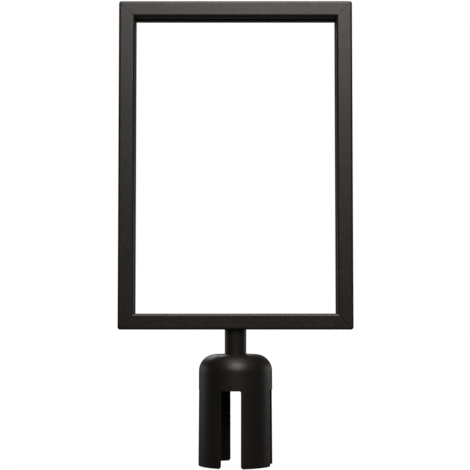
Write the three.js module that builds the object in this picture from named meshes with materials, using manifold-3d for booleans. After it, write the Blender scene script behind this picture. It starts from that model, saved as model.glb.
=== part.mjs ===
// Post-top sign frame: an empty portrait sign holder on a short round neck, over a
// slotted adapter cup that slips onto the head of a belt-barrier post.
// Millimetres, +Z up, front towards -Y. The origin is on the swivel axis, at the leg tips.

import * as THREE from 'three';
import { mergeVertices } from 'three/addons/utils/BufferGeometryUtils.js';
import Module from 'manifold-3d';

const wasm = await Module();
wasm.setup();

// ---- Driving dimensions (mm) ----------------------------------------------

// the sheet or panel that the frame holds, upright A4
const SHEET_WIDTH = 210;
const SHEET_HEIGHT = 297;
const SHEET_SIDE_CLEARANCE = 1.75;

// the aluminium frame section
const BAR_FACE = 14.6;
const BAR_DEPTH = 29;
const BAR_WALL = 1.5;
const BAR_EDGE_RADIUS = 2;
const POCKET_WIDTH = 6;
const RIB_THICKNESS = 1.4;
const MITRE_GAP = 0.05;

// the corner keys and the rest blocks inside the bars
const KEY_LEG = 34;
const KEY_CLEARANCE = 0.2;
const REST_BLOCK_HEIGHT = 6;
const REST_BLOCK_LENGTH = 30;
const REST_BLOCK_SPACING = 120;
const REST_BLOCK_CLEARANCE = 0.25;

// the neck and the plugs pressed into its two ends
const NECK_DIAMETER = 20;
const NECK_WALL = 2.5;
const NECK_VISIBLE = 22.8;
const PLUG_LENGTH = 10;
const PLUG_CLEARANCE = 0.05;

// the screw that holds the frame down on the neck
const SCREW_DIAMETER = 6;
const SCREW_LENGTH = 12;
const SCREW_HEAD_DIAMETER = 10.5;
const SCREW_HEAD_HEIGHT = 3.3;
const SCREW_HEAD_RIM_HEIGHT = 1.98;
const SCREW_HEAD_RIM_TAPER = 0.6;
const SCREW_HEAD_FLAT_DIAMETER = 5.25;
const SCREW_SOCKET_ACROSS_FLATS = 4;
const SCREW_SOCKET_DEPTH = 2;
const SCREW_WASHER_DIAMETER = 11.8;
const SCREW_WASHER_THICKNESS = 1.2;
const SCREW_ACCESS_CLEARANCE = 0.8;

// the bolt that the frame swivels on
const BOLT_DIAMETER = 8;
const BOLT_HEAD_ACROSS_FLATS = 13;
const BOLT_HEAD_HEIGHT = 5.3;
const BOLT_ENGAGEMENT = 8.5;
const BOLT_HOLE_CLEARANCE = 0.3;
const THREAD_CLEARANCE = 0.05;
const WASHER_DIAMETER = 19;
const WASHER_THICKNESS = 1.6;
const SLIP_WASHER_DIAMETER = 22;
const SLIP_WASHER_THICKNESS = 1;
const SPRING_WASHER_DIAMETER = 15;
const SPRING_WASHER_THICKNESS = 0.5;
const SPRING_WASHER_WAVE = 0.3;
const RUNNING_CLEARANCE = 0.1;

// the adapter cup
const POST_DIAMETER = 63.5;
const POST_CLEARANCE = 0.25;
const CUP_HEIGHT = 101.6;
const CUP_WALL_AT_TIPS = 2.45;
const CUP_WALL_AT_SHOULDER = 1.85;
const CUP_SHOULDER_RADIUS = 15.3;
const SEAT_HEIGHT = 74;
const SEAT_WIDTH = 4;
const CEILING_THICKNESS = 6.2;
const NECK_RECESS_DEPTH = 2.5;
const NECK_RECESS_CLEARANCE = 0.3;
const LEG_SLOT_WIDTH = 18.2;
const LEG_SLOT_HEIGHT = 69.4;
const LEG_SLOT_CORNER_RADIUS = 1.5;

// the cup's turn on the bolt, clockwise from above, with the frame facing the front
const CUP_TURN_DEGREES = 7.5;

// how far a cutting shape runs past the face that it opens
const CUTTER_OVERRUN = 2;

// points closer than this are one point when a shape is made solid
const MERGE_DISTANCE = 1e-4;

// smoothness of round shapes
const CUP_SEGMENTS = 96;
const ROUND_SEGMENTS = 32;
const SHOULDER_STEPS = 9;
const EDGE_STEPS = 5;

// ---- Worked-out dimensions -------------------------------------------------

const FRAME_WIDTH = SHEET_WIDTH + 2 * (BAR_WALL + SHEET_SIDE_CLEARANCE);
const FRAME_HEIGHT = BAR_WALL + REST_BLOCK_HEIGHT + SHEET_HEIGHT;
const FRAME_BOTTOM = CUP_HEIGHT + NECK_VISIBLE;
const CHAMBER_DEPTH = BAR_DEPTH / 2 - BAR_WALL - POCKET_WIDTH / 2 - RIB_THICKNESS;
const CHAMBER_MIDDLE = POCKET_WIDTH / 2 + RIB_THICKNESS + CHAMBER_DEPTH / 2;

const RECESS_FLOOR = CUP_HEIGHT - NECK_RECESS_DEPTH;
const NECK_BOTTOM = RECESS_FLOOR + SLIP_WASHER_THICKNESS + RUNNING_CLEARANCE;
const NECK_RADIUS = NECK_DIAMETER / 2;
const NECK_BORE_RADIUS = NECK_RADIUS - NECK_WALL;
const CEILING = RECESS_FLOOR - CEILING_THICKNESS;
const BOLT_HOLE_RADIUS = BOLT_DIAMETER / 2 + BOLT_HOLE_CLEARANCE;
const CUP_BORE_RADIUS = POST_DIAMETER / 2 + POST_CLEARANCE;

// ---- Materials --------------------------------------------------------------

const powderCoat = { color: 0x1b1a1a, roughness: 0.45, metalness: 0 };
const blackNylon = { color: 0x161514, roughness: 0.4, metalness: 0 };
const zincSteel = { color: 0xaeb2b5, roughness: 0.35, metalness: 1 };
const castAluminium = { color: 0x9a9c9f, roughness: 0.55, metalness: 1 };
const naturalNylon = { color: 0xe6e2d6, roughness: 0.5, metalness: 0 };
const springSteel = { color: 0x6f7276, roughness: 0.3, metalness: 1 };
const blackRubber = { color: 0x1d1d1e, roughness: 0.85, metalness: 0 };

// ---- Helpers ----------------------------------------------------------------

const product = new THREE.Group();
const adapter = new THREE.Group();
adapter.rotation.z = -THREE.MathUtils.degToRad(CUP_TURN_DEGREES);
product.add(adapter);

function addPart(group, name, geometry, material) {
  const mesh = new THREE.Mesh(geometry, new THREE.MeshStandardMaterial(material));
  mesh.name = name;
  group.add(mesh);
  return mesh;
}

// Closed three.js geometry to a manifold solid, for cuts and joins.
function toSolid(geometry) {
  const bare = geometry.clone();
  bare.deleteAttribute('normal');
  bare.deleteAttribute('uv');
  const merged = mergeVertices(bare, MERGE_DISTANCE);
  const vertProperties = new Float32Array(merged.attributes.position.array);
  const triVerts = new Uint32Array(merged.index.array);
  return new wasm.Manifold(new wasm.Mesh({ numProp: 3, vertProperties, triVerts }));
}

function toGeometry(solid) {
  const { vertProperties, triVerts } = solid.getMesh();
  const geometry = new THREE.BufferGeometry();
  geometry.setAttribute('position', new THREE.BufferAttribute(vertProperties, 3));
  geometry.setIndex(new THREE.BufferAttribute(triVerts, 1));
  geometry.computeVertexNormals();
  return geometry;
}

// Turns a [radius, height] profile about Z. It runs up the outside and closes on itself.
function revolve(profile, segments = ROUND_SEGMENTS) {
  const points = profile.map(([radius, height]) => new THREE.Vector2(radius, height));
  return new THREE.LatheGeometry(points, segments).rotateX(Math.PI / 2);
}

function ring(innerRadius, outerRadius, bottom, height) {
  const top = bottom + height;
  return revolve([
    [innerRadius, bottom],
    [outerRadius, bottom],
    [outerRadius, top],
    [innerRadius, top],
    [innerRadius, bottom],
  ]);
}

function disc(radius, bottom, height) {
  return revolve([
    [0, bottom],
    [radius, bottom],
    [radius, bottom + height],
    [0, bottom + height],
  ]);
}

function hexagon(acrossFlats, bottom, height) {
  const radius = acrossFlats / Math.sqrt(3);
  const prism = new THREE.CylinderGeometry(radius, radius, height, 6).rotateX(Math.PI / 2);
  return prism.translate(0, 0, bottom + height / 2);
}

// ---- Frame bars -------------------------------------------------------------

// A quarter-round corner of an outline, about a centre, from one angle to another.
function roundCorner(shape, x, y, startQuarter) {
  const start = (startQuarter * Math.PI) / 2;
  shape.absarc(x, y, BAR_EDGE_RADIUS, start, start + Math.PI / 2, false);
}

function rectangleHole(xMin, xMax, yMin, yMax) {
  const hole = new THREE.Path();
  hole.moveTo(xMin, yMin);
  hole.lineTo(xMin, yMax);
  hole.lineTo(xMax, yMax);
  hole.lineTo(xMax, yMin);
  hole.closePath();
  return hole;
}

function chamberHole(side) {
  const near = side * (POCKET_WIDTH / 2 + RIB_THICKNESS);
  const far = side * (BAR_DEPTH / 2 - BAR_WALL);
  return rectangleHole(BAR_WALL, BAR_FACE - BAR_WALL, Math.min(near, far), Math.max(near, far));
}

// The channel section: x runs from the outer web towards the window, y through the
// depth. A central pocket, open to the window, lies between two hollow chambers.
function channelSection() {
  const half = BAR_DEPTH / 2;
  const r = BAR_EDGE_RADIUS;
  const shape = new THREE.Shape();
  shape.moveTo(r, -half);
  roundCorner(shape, BAR_FACE - r, -half + r, 3);
  shape.lineTo(BAR_FACE, -POCKET_WIDTH / 2);
  shape.lineTo(BAR_WALL, -POCKET_WIDTH / 2);
  shape.lineTo(BAR_WALL, POCKET_WIDTH / 2);
  shape.lineTo(BAR_FACE, POCKET_WIDTH / 2);
  roundCorner(shape, BAR_FACE - r, half - r, 0);
  roundCorner(shape, r, half - r, 1);
  roundCorner(shape, r, -half + r, 2);
  shape.holes.push(chamberHole(-1), chamberHole(1));
  return shape;
}

// The top rail is two box strips, one on each side of the loading slot.
function topStripSection(side) {
  const half = BAR_DEPTH / 2;
  const r = BAR_EDGE_RADIUS;
  const shape = new THREE.Shape();
  shape.moveTo(0, POCKET_WIDTH / 2);
  shape.lineTo(BAR_FACE, POCKET_WIDTH / 2);
  roundCorner(shape, BAR_FACE - r, half - r, 0);
  roundCorner(shape, r, half - r, 1);
  shape.closePath();
  const points = shape.getPoints(EDGE_STEPS);
  const outline = points.map((point) => new THREE.Vector2(point.x, side * point.y));
  const strip = new THREE.Shape(side > 0 ? outline : outline.reverse());
  strip.holes.push(chamberHole(side));
  return strip;
}

// A bar along +Z whose two ends are cut back by 45 degrees towards the window side.
function mitredBar(section, length) {
  const settings = { depth: length, bevelEnabled: false, curveSegments: EDGE_STEPS };
  const bar = new THREE.ExtrudeGeometry(section, settings);
  const position = bar.attributes.position;
  for (let i = 0; i < position.count; i += 1) {
    const cutBack = position.getX(i) + MITRE_GAP;
    position.setZ(i, position.getZ(i) > length / 2 ? length - cutBack : cutBack);
  }
  bar.computeVertexNormals();
  return bar;
}

function addStiles() {
  const left = addPart(product, 'left_stile', mitredBar(channelSection(), FRAME_HEIGHT), powderCoat);
  left.position.set(-FRAME_WIDTH / 2, 0, FRAME_BOTTOM);
  const right = addPart(product, 'right_stile', mitredBar(channelSection(), FRAME_HEIGHT), powderCoat);
  right.rotation.z = Math.PI;
  right.position.set(FRAME_WIDTH / 2, 0, FRAME_BOTTOM);
}

function addTopRail() {
  for (const [name, side] of [['top_rail_front', -1], ['top_rail_rear', 1]]) {
    const strip = mitredBar(topStripSection(side), FRAME_WIDTH).rotateY(Math.PI / 2);
    const mesh = addPart(product, name, strip, powderCoat);
    mesh.position.set(-FRAME_WIDTH / 2, 0, FRAME_BOTTOM + FRAME_HEIGHT);
  }
}

// The bottom rail has a hole for the neck screw, and a round opening through its ribs
// and lips that lets the screw head, its washer and the key in.
function addBottomRail() {
  const rail = mitredBar(channelSection(), FRAME_WIDTH).rotateY(-Math.PI / 2);
  rail.translate(FRAME_WIDTH / 2, 0, FRAME_BOTTOM);
  const accessRadius = SCREW_WASHER_DIAMETER / 2 + SCREW_ACCESS_CLEARANCE;
  const access = disc(accessRadius, FRAME_BOTTOM + BAR_WALL, BAR_FACE);
  const holeRadius = SCREW_DIAMETER / 2 + BOLT_HOLE_CLEARANCE;
  const hole = disc(holeRadius, FRAME_BOTTOM - CUTTER_OVERRUN, BAR_WALL + 2 * CUTTER_OVERRUN);
  const cut = toSolid(rail).subtract(toSolid(access)).subtract(toSolid(hole));
  addPart(product, 'bottom_rail', toGeometry(cut), powderCoat);
}

// ---- Corner keys and rest blocks -------------------------------------------

const CORNERS = [
  { name: 'lower_left', x: -1, top: 0, quarterTurns: 0 },
  { name: 'upper_left', x: -1, top: 1, quarterTurns: 1 },
  { name: 'upper_right', x: 1, top: 1, quarterTurns: 2 },
  { name: 'lower_right', x: 1, top: 0, quarterTurns: 3 },
];

// An L-shaped key with one leg in the chamber of each bar that meets at the corner.
function cornerKey() {
  const outer = BAR_WALL + KEY_CLEARANCE;
  const inner = BAR_FACE - BAR_WALL - KEY_CLEARANCE;
  const shape = new THREE.Shape();
  shape.moveTo(outer, outer);
  shape.lineTo(KEY_LEG, outer);
  shape.lineTo(KEY_LEG, inner);
  shape.lineTo(inner, inner);
  shape.lineTo(inner, KEY_LEG);
  shape.lineTo(outer, KEY_LEG);
  const thickness = CHAMBER_DEPTH - 2 * KEY_CLEARANCE;
  const key = new THREE.ExtrudeGeometry(shape, { depth: thickness, bevelEnabled: false });
  return key.translate(0, 0, -thickness / 2).rotateX(Math.PI / 2);
}

function addCornerKeys() {
  for (const corner of CORNERS) {
    for (const [row, side] of [['front', -1], ['rear', 1]]) {
      const key = cornerKey().rotateY((corner.quarterTurns * Math.PI) / 2);
      const mesh = addPart(product, `corner_key_${corner.name}_${row}`, key, castAluminium);
      const height = FRAME_BOTTOM + corner.top * FRAME_HEIGHT;
      mesh.position.set((corner.x * FRAME_WIDTH) / 2, side * CHAMBER_MIDDLE, height);
    }
  }
}

function addRestBlocks() {
  const depth = POCKET_WIDTH - 2 * REST_BLOCK_CLEARANCE;
  for (const [name, side] of [['rest_block_left', -1], ['rest_block_right', 1]]) {
    const block = new THREE.BoxGeometry(REST_BLOCK_LENGTH, depth, REST_BLOCK_HEIGHT);
    const mesh = addPart(product, name, block, blackRubber);
    const middle = FRAME_BOTTOM + BAR_WALL + REST_BLOCK_HEIGHT / 2;
    mesh.position.set((side * REST_BLOCK_SPACING) / 2, 0, middle);
  }
}

// ---- Neck -------------------------------------------------------------------

function addNeck() {
  const length = FRAME_BOTTOM - NECK_BOTTOM;
  addPart(product, 'neck_tube', ring(NECK_BORE_RADIUS, NECK_RADIUS, NECK_BOTTOM, length), powderCoat);
  const plugRadius = NECK_BORE_RADIUS - PLUG_CLEARANCE;
  const lowerHole = BOLT_DIAMETER / 2 + THREAD_CLEARANCE;
  const upperHole = SCREW_DIAMETER / 2 + THREAD_CLEARANCE;
  const upperBottom = FRAME_BOTTOM - PLUG_LENGTH;
  addPart(product, 'neck_plug_lower', ring(lowerHole, plugRadius, NECK_BOTTOM, PLUG_LENGTH), zincSteel);
  addPart(product, 'neck_plug_upper', ring(upperHole, plugRadius, upperBottom, PLUG_LENGTH), zincSteel);
}

function addNeckScrew() {
  const seat = FRAME_BOTTOM + BAR_WALL;
  const holeRadius = SCREW_DIAMETER / 2 + THREAD_CLEARANCE;
  const washer = ring(holeRadius, SCREW_WASHER_DIAMETER / 2, seat, SCREW_WASHER_THICKNESS);
  addPart(product, 'neck_screw_washer', washer, springSteel);
  const underHead = seat + SCREW_WASHER_THICKNESS;
  const top = underHead + SCREW_HEAD_HEIGHT;
  const screw = revolve([
    [0, underHead - SCREW_LENGTH],
    [SCREW_DIAMETER / 2, underHead - SCREW_LENGTH],
    [SCREW_DIAMETER / 2, underHead],
    [SCREW_HEAD_DIAMETER / 2, underHead],
    [SCREW_HEAD_DIAMETER / 2 - SCREW_HEAD_RIM_TAPER, underHead + SCREW_HEAD_RIM_HEIGHT],
    [SCREW_HEAD_FLAT_DIAMETER / 2, top],
    [0, top],
  ]);
  const socketDepth = SCREW_SOCKET_DEPTH + CUTTER_OVERRUN;
  const socket = hexagon(SCREW_SOCKET_ACROSS_FLATS, top - SCREW_SOCKET_DEPTH, socketDepth);
  addPart(product, 'neck_screw', toGeometry(toSolid(screw).subtract(toSolid(socket))), zincSteel);
}

// ---- Swivel -----------------------------------------------------------------

// A flat ring whose faces rise and fall three times around it.
function waveWasher(innerRadius, outerRadius, bottom) {
  const washer = ring(innerRadius, outerRadius, bottom + SPRING_WASHER_WAVE, SPRING_WASHER_THICKNESS);
  const position = washer.attributes.position;
  for (let i = 0; i < position.count; i += 1) {
    const angle = Math.atan2(position.getY(i), position.getX(i));
    position.setZ(i, position.getZ(i) + SPRING_WASHER_WAVE * Math.sin(3 * angle));
  }
  return washer;
}

function addSwivel() {
  const holeRadius = BOLT_HOLE_RADIUS;
  const slipRadius = SLIP_WASHER_DIAMETER / 2;
  const lowerSlip = ring(holeRadius, slipRadius, CEILING - SLIP_WASHER_THICKNESS, SLIP_WASHER_THICKNESS);
  addPart(adapter, 'slip_washer_lower', lowerSlip, naturalNylon);
  const upperSlip = ring(holeRadius, NECK_RADIUS, RECESS_FLOOR, SLIP_WASHER_THICKNESS);
  addPart(adapter, 'slip_washer_upper', upperSlip, naturalNylon);

  const washerTop = CEILING - SLIP_WASHER_THICKNESS - RUNNING_CLEARANCE;
  const washerBottom = washerTop - WASHER_THICKNESS;
  const washer = ring(holeRadius, WASHER_DIAMETER / 2, washerBottom, WASHER_THICKNESS);
  addPart(product, 'swivel_washer', washer, zincSteel);
  const springHeight = SPRING_WASHER_THICKNESS + 2 * SPRING_WASHER_WAVE;
  const springBottom = washerBottom - springHeight;
  const spring = waveWasher(holeRadius, SPRING_WASHER_DIAMETER / 2, springBottom);
  addPart(product, 'spring_washer', spring, springSteel);

  const boltTop = NECK_BOTTOM + BOLT_ENGAGEMENT;
  const head = hexagon(BOLT_HEAD_ACROSS_FLATS, springBottom - BOLT_HEAD_HEIGHT, BOLT_HEAD_HEIGHT);
  const shankBottom = springBottom - BOLT_HEAD_HEIGHT / 2;
  const shank = disc(BOLT_DIAMETER / 2, shankBottom, boltTop - shankBottom);
  addPart(product, 'swivel_bolt', toGeometry(toSolid(head).add(toSolid(shank))), zincSteel);
}

// ---- Adapter cup -------------------------------------------------------------

// The outside runs up from the leg tips with a slight draft and over a quarter-round
// shoulder to a flat top. Inside are the neck recess, the bolt hole, the ceiling, the
// ledge that sits on the post and the bore around it.
function cupBody() {
  const tipRadius = CUP_BORE_RADIUS + CUP_WALL_AT_TIPS;
  const shoulderRadius = CUP_BORE_RADIUS + CUP_WALL_AT_SHOULDER;
  const shoulderMiddle = shoulderRadius - CUP_SHOULDER_RADIUS;
  const shoulderBottom = CUP_HEIGHT - CUP_SHOULDER_RADIUS;
  const recessRadius = NECK_RADIUS + NECK_RECESS_CLEARANCE;
  const cavityRadius = CUP_BORE_RADIUS - SEAT_WIDTH;
  const profile = [[tipRadius, 0]];
  for (let step = 0; step <= SHOULDER_STEPS; step += 1) {
    const angle = ((step / SHOULDER_STEPS) * Math.PI) / 2;
    const radius = shoulderMiddle + CUP_SHOULDER_RADIUS * Math.cos(angle);
    profile.push([radius, shoulderBottom + CUP_SHOULDER_RADIUS * Math.sin(angle)]);
  }
  profile.push(
    [recessRadius, CUP_HEIGHT],
    [recessRadius, RECESS_FLOOR],
    [BOLT_HOLE_RADIUS, RECESS_FLOOR],
    [BOLT_HOLE_RADIUS, CEILING],
    [cavityRadius, CEILING],
    [cavityRadius, SEAT_HEIGHT],
    [CUP_BORE_RADIUS, SEAT_HEIGHT],
    [CUP_BORE_RADIUS, 0],
    [tipRadius, 0],
  );
  return revolve(profile, CUP_SEGMENTS);
}

// One cutter runs right across the cup, so it makes two opposite slots. It lies along Y
// and its top corners are rounded.
function slotCutter() {
  const half = LEG_SLOT_WIDTH / 2;
  const r = LEG_SLOT_CORNER_RADIUS;
  const below = -CUTTER_OVERRUN;
  const shape = new THREE.Shape();
  shape.moveTo(-half, below);
  shape.lineTo(half, below);
  shape.absarc(half - r, LEG_SLOT_HEIGHT - r, r, 0, Math.PI / 2, false);
  shape.absarc(-half + r, LEG_SLOT_HEIGHT - r, r, Math.PI / 2, Math.PI, false);
  const reach = 2 * (CUP_BORE_RADIUS + CUP_WALL_AT_TIPS + CUTTER_OVERRUN);
  const settings = { depth: reach, bevelEnabled: false, curveSegments: EDGE_STEPS };
  const cutter = new THREE.ExtrudeGeometry(shape, settings);
  return cutter.translate(0, 0, -reach / 2).rotateX(Math.PI / 2);
}

function addCup() {
  let cup = toSolid(cupBody());
  cup = cup.subtract(toSolid(slotCutter()));
  cup = cup.subtract(toSolid(slotCutter().rotateZ(Math.PI / 2)));
  addPart(adapter, 'adapter_cup', toGeometry(cup), blackNylon);
}

// ---- Assembly ----------------------------------------------------------------

addCup();
addSwivel();
addNeck();
addNeckScrew();
addBottomRail();
addStiles();
addTopRail();
addCornerKeys();
addRestBlocks();

export default product;
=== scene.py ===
import math

import bmesh
import bpy
import numpy as np
from mathutils.geometry import tessellate_polygon
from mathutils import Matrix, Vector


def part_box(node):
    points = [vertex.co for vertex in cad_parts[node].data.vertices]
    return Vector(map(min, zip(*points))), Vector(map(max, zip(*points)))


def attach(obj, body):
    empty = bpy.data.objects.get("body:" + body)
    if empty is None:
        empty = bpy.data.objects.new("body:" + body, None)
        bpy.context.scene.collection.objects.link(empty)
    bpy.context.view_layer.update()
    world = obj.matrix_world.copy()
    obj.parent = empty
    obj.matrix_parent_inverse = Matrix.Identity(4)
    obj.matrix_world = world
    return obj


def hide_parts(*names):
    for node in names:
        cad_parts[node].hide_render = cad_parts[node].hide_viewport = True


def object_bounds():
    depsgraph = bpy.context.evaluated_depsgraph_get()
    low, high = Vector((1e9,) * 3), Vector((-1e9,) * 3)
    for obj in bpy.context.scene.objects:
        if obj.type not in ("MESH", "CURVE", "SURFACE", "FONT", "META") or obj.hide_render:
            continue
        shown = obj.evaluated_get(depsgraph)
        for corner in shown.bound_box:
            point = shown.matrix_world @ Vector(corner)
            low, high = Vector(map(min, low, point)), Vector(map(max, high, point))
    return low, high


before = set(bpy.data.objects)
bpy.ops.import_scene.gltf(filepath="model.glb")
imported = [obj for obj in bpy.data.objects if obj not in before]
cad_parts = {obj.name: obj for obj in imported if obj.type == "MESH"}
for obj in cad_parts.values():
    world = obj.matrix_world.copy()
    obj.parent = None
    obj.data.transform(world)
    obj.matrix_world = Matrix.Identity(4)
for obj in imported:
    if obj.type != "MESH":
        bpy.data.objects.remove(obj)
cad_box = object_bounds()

# ---- Adapter cup -----------------------------------------------------------------
# One moulding in black nylon that slips over the head of a barrier post: a drafted
# cylinder under a quarter-round shoulder, cut up into four legs by slots that clear the
# post's belt outlets. A ledge inside sits on the post, and the swivel bolt comes up
# through the thick crown into the neck. It stands a few degrees off square on the bolt.

MM = 0.001
hair = 1e-9
cup_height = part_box("adapter_cup")[1][2]
cup_turn = math.radians(-7.5)
cup_bore = 32.0 * MM
cup_tip_radius = 34.45 * MM
cup_side_radius = 33.85 * MM
cup_shoulder = 15.3 * MM
cup_crown_recess = 10.3 * MM
cup_recess_depth = 2.5 * MM
cup_crown_thickness = 6.2 * MM
cup_recess_floor = cup_height - cup_recess_depth
cup_ceiling = cup_recess_floor - cup_crown_thickness
cup_bolt_hole = 4.3 * MM
cup_cavity = 28.0 * MM
cup_seat = 74.0 * MM
leg_count = 4
slot_half = 9.1 * MM
slot_top = 69.4 * MM
slot_corner = 1.5 * MM
tip_corner = 2.2 * MM
corner_steps = 4
slot_steps = 5
band_steps = 4
leg_steps = 11
leg_rows = 15
rows_above_slots = 8
shoulder_steps = 24
crown_steps = 4
corner_fade = 3.75 * MM
leg_edge_band = 4.0 * MM
moulded_edge = 0.25 * MM
join_distance = 1e-7
sharp_turn = 38


def closed_grid(columns, rows):
    """Faces of a grid that closes on itself both ways: each joins point (c, r) to the
    next column and the next row, counted round."""
    c, r = np.meshgrid(np.arange(columns), np.arange(rows), indexing="ij")
    c_next, r_next = (c + 1) % columns, (r + 1) % rows
    corners = [c * rows + r, c_next * rows + r, c_next * rows + r_next, c * rows + r_next]
    return np.stack(corners, axis=-1)


def mark_sharp(mesh, angle):
    """Shades a mesh smooth, but for edges that turn by more than an angle in degrees."""
    mesh.shade_smooth()
    shape = bmesh.new()
    shape.from_mesh(mesh)
    for edge in shape.edges:
        edge.smooth = edge.calc_face_angle(0.0) < math.radians(angle)
    shape.to_mesh(mesh)
    shape.free()


def closed_mesh(name, points, faces):
    """A mesh of the points and faces, with what coincides joined, what no face uses
    deleted, and the faces turned outwards."""
    mesh = bpy.data.meshes.new(name)
    places = np.asarray(points).reshape(-1, 3).tolist()
    mesh.from_pydata(places, [], [list(map(int, face)) for face in faces])
    shape = bmesh.new()
    shape.from_mesh(mesh)
    bmesh.ops.remove_doubles(shape, verts=shape.verts, dist=join_distance)
    bmesh.ops.dissolve_degenerate(shape, dist=join_distance / 10, edges=shape.edges)
    for edge in [edge for edge in shape.edges if not edge.link_faces]:
        shape.edges.remove(edge)
    unused = [point for point in shape.verts if not point.link_faces]
    bmesh.ops.delete(shape, geom=unused, context="VERTS")
    bmesh.ops.recalc_face_normals(shape, faces=shape.faces)
    shape.to_mesh(mesh)
    shape.free()
    return mesh


def add_piece(name, points, faces, body, nodes, slot, material, sharp_over=sharp_turn):
    """Makes a piece of points and faces in the part's frame, marks edges over an angle as
    sharp, and fixes the piece to its body in place of its CAD nodes."""
    mesh = closed_mesh(name, points, faces)
    mark_sharp(mesh, sharp_over)
    mesh.materials.append(material)
    piece = bpy.data.objects.new(name, mesh)
    bpy.context.collection.objects.link(piece)
    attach(piece, body)
    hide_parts(*nodes)
    return piece


def soften(piece, width, segments=3, angle=sharp_turn):
    """Rounds every edge sharper than an angle, as a mould or a deburring tool leaves it."""
    bevel = piece.modifiers.new("softened edges", "BEVEL")
    bevel.width = width
    bevel.segments = segments
    bevel.limit_method = "ANGLE"
    bevel.angle_limit = math.radians(angle)
    bevel.use_clamp_overlap = True


def link_nodes(tree, *pairs):
    for source, target in pairs:
        tree.links.new(source, target)


def new_finish(name, roughness, metallic=0.0):
    """A material with one shader, its nodes, and the object's own coordinates."""
    finish = bpy.data.materials.new(name)
    finish.use_nodes = True
    tree = finish.node_tree
    shader = tree.nodes["Principled BSDF"]
    shader.inputs["Roughness"].default_value = roughness
    shader.inputs["Metallic"].default_value = metallic
    place = tree.nodes.new("ShaderNodeTexCoord").outputs["Object"]
    return finish, tree, shader, place


def add_noise(tree, place, size, detail=2.0, rough=0.5):
    """Noise whose features are about as wide as size, in metres."""
    noise = tree.nodes.new("ShaderNodeTexNoise")
    noise.inputs["Scale"].default_value = 1.0 / size
    noise.inputs["Detail"].default_value = detail
    noise.inputs["Roughness"].default_value = rough
    tree.links.new(place, noise.inputs["Vector"])
    return noise.outputs["Fac"]


def add_range(tree, value, low, high, out_low, out_high):
    """Carries value from the range low..high to out_low..out_high, clamped."""
    node = tree.nodes.new("ShaderNodeMapRange")
    for socket, number in zip(node.inputs[1:5], (low, high, out_low, out_high)):
        socket.default_value = number
    tree.links.new(value, node.inputs["Value"])
    return node.outputs["Result"]


def add_bump(tree, height, depth, strength=1.0, under=None):
    """A bump of the given depth, in metres, laid over another one if under is given."""
    bump = tree.nodes.new("ShaderNodeBump")
    bump.inputs["Distance"].default_value = depth
    bump.inputs["Strength"].default_value = strength
    tree.links.new(height, bump.inputs["Height"])
    if under is not None:
        tree.links.new(under, bump.inputs["Normal"])
    return bump.outputs["Normal"]


def add_blend(tree, factor, colour_a, colour_b):
    """Colour a where factor is 0, colour b where it is 1."""
    mix = tree.nodes.new("ShaderNodeMix")
    mix.data_type = "RGBA"
    mix.inputs["A"].default_value = (*colour_a, 1.0)
    mix.inputs["B"].default_value = (*colour_b, 1.0)
    tree.links.new(factor, mix.inputs["Factor"])
    return mix.outputs["Result"]


def moulded_nylon():
    """Black nylon from a spark-eroded mould: a fine even grain with faint flow shading."""
    finish, tree, shader, place = new_finish("moulded black nylon", 0.4)
    flow = add_noise(tree, place, 22 * MM, detail=3.0)
    grain = add_noise(tree, place, 0.55 * MM, detail=2.0, rough=0.6)
    coarse = add_noise(tree, place, 3.0 * MM, detail=2.0)
    shade = add_range(tree, flow, 0.35, 0.65, 0, 1)
    colour = add_blend(tree, shade, (0.0088, 0.007, 0.0053), (0.0116, 0.0092, 0.0072))
    gloss = add_range(tree, coarse, 0.3, 0.7, 0.38, 0.46)
    skin = add_bump(tree, coarse, 0.02 * MM, 0.5)
    skin = add_bump(tree, grain, 0.02 * MM, 0.6, under=skin)
    link_nodes(
        tree,
        (colour, shader.inputs["Base Color"]),
        (gloss, shader.inputs["Roughness"]),
        (skin, shader.inputs["Normal"]),
    )
    return finish


def cup_profile():
    """The closed outline of the wall, from the tips up the outside, over the shoulder,
    down through the bolt hole and down the bore. The rows up to the slots' top have the
    same heights on both sides, so that the slots' walls can join them."""
    tip_rows = np.linspace(0, tip_corner, corner_steps + 1)
    side_rows = np.linspace(tip_corner, slot_top - slot_corner, leg_rows + 1)
    top_rows = np.linspace(slot_top - slot_corner, slot_top, corner_steps + 1)
    low = np.concatenate([tip_rows, side_rows[1:-1], top_rows])
    middle = cup_side_radius - cup_shoulder
    spring_line = cup_height - cup_shoulder
    above = np.linspace(slot_top, spring_line, rows_above_slots + 1)[1:]
    outside_z = np.concatenate([low, above])
    outside_r = cup_tip_radius + (cup_side_radius - cup_tip_radius) * outside_z / spring_line
    turn = np.linspace(0, math.pi / 2, shoulder_steps + 1)[1:]
    arch_r = middle + cup_shoulder * np.cos(turn)
    arch_z = spring_line + cup_shoulder * np.sin(turn)
    crown_r = np.linspace(middle, cup_crown_recess, crown_steps + 1)[1:]
    hole = np.array([
        [cup_crown_recess, cup_recess_floor],
        [cup_bolt_hole, cup_recess_floor],
        [cup_bolt_hole, cup_ceiling],
        [cup_cavity, cup_ceiling],
        [cup_cavity, cup_seat],
        [cup_bore, cup_seat],
    ])
    bore_r = np.full(low.size, cup_bore)
    crown_z = np.full(crown_r.size, cup_height)
    radius = np.concatenate([outside_r, arch_r, crown_r, hole[:, 0], bore_r])
    height = np.concatenate([outside_z, arch_z, crown_z, hole[:, 1], low[::-1]])
    return radius, height, low.size


def round_corner(across, up, radius, fade):
    """Moves points near a square corner so that the square of side radius becomes a
    quarter disc: both offsets are scaled by the larger one over their diagonal, and the
    effect dies out at fade."""
    larger = np.maximum(across, up)
    diagonal = np.maximum(np.hypot(across, up), hair)
    share = np.clip((fade - larger) / max(fade - radius, hair), 0, 1)
    share = np.where((across > 0) & (up > 0), share, 0)
    scale = 1 - (1 - larger / diagonal) * share
    return across * scale, up * scale


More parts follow.
